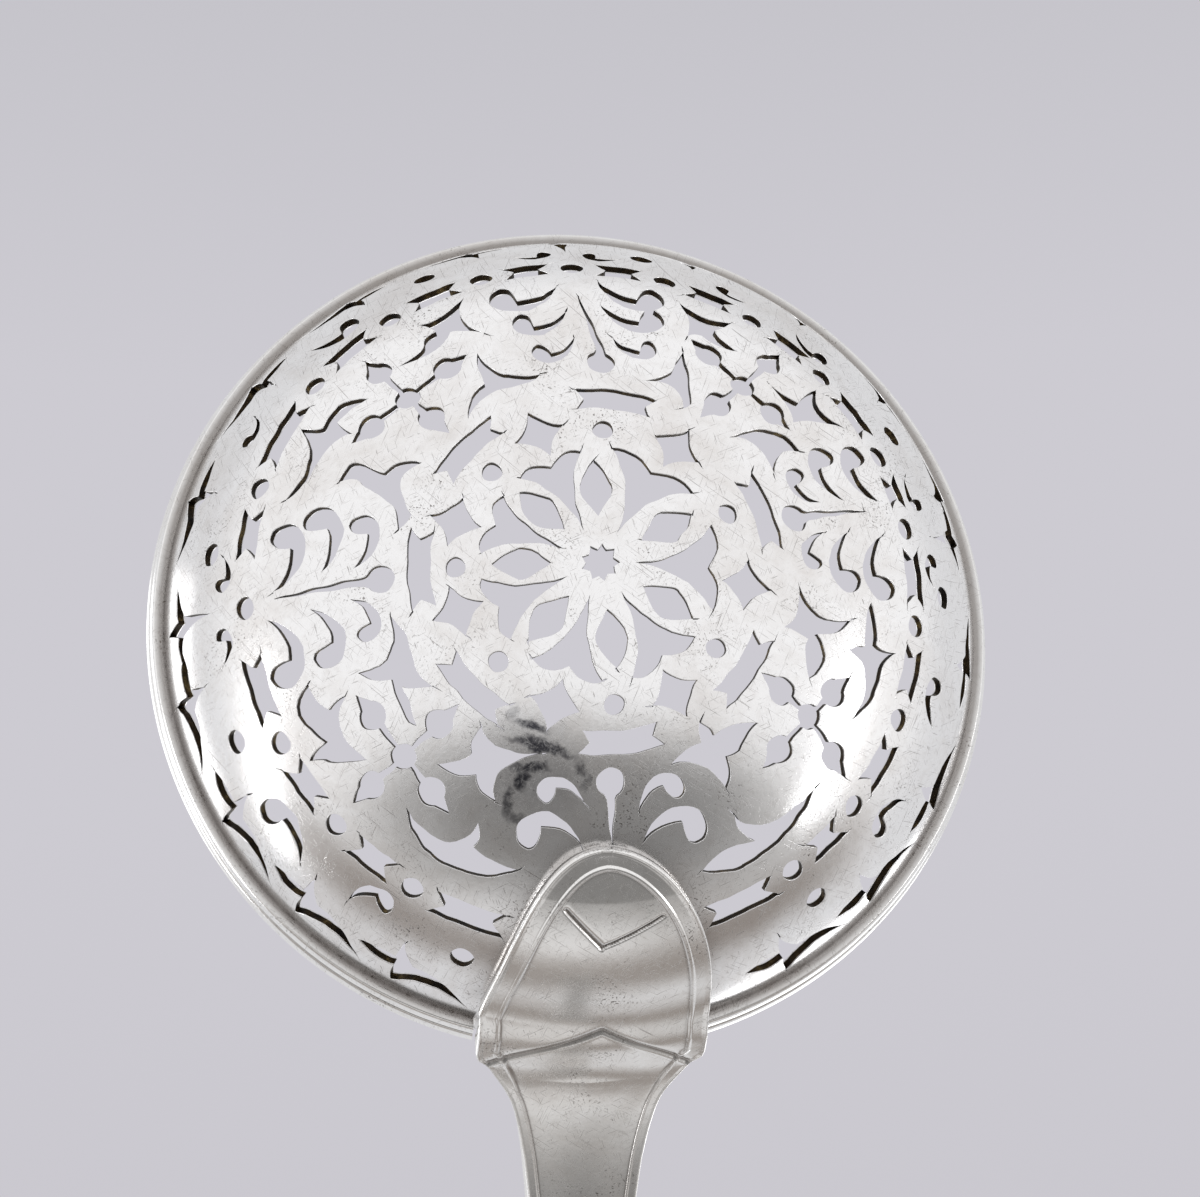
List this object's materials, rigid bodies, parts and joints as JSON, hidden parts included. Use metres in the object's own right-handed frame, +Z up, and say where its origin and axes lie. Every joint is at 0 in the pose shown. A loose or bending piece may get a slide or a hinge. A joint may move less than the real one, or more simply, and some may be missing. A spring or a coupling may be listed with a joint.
{
  "type": "sifter spoon",
  "caption": "Sifter spoon: a deep round bowl sawn through with scrolling ornament, a reeded wire round its lip, and a long arched handle that widens to a fiddle-shaped end.",
  "frame": {"origin": "middle of the spoon's footprint on the table, with the bowl's worn back and the handle's tip on the table", "axes": "+Z up out of the bowl's mouth; +Y from the handle's tip to the bowl; +X across the bowl"},
  "size_m": [0.0702, 0.212, 0.0324],
  "materials": {
    "bowl": "silver, worn polish with fine scratches, tarnished saw cuts",
    "rim_wire": "polished silver",
    "handle": "silver, worn polish with fine scratches"
  },
  "bodies": {
    "root": {"bowl": "bowl", "rim_wire": "rim_wire", "handle": "handle"}
  },
  "joints": []
}
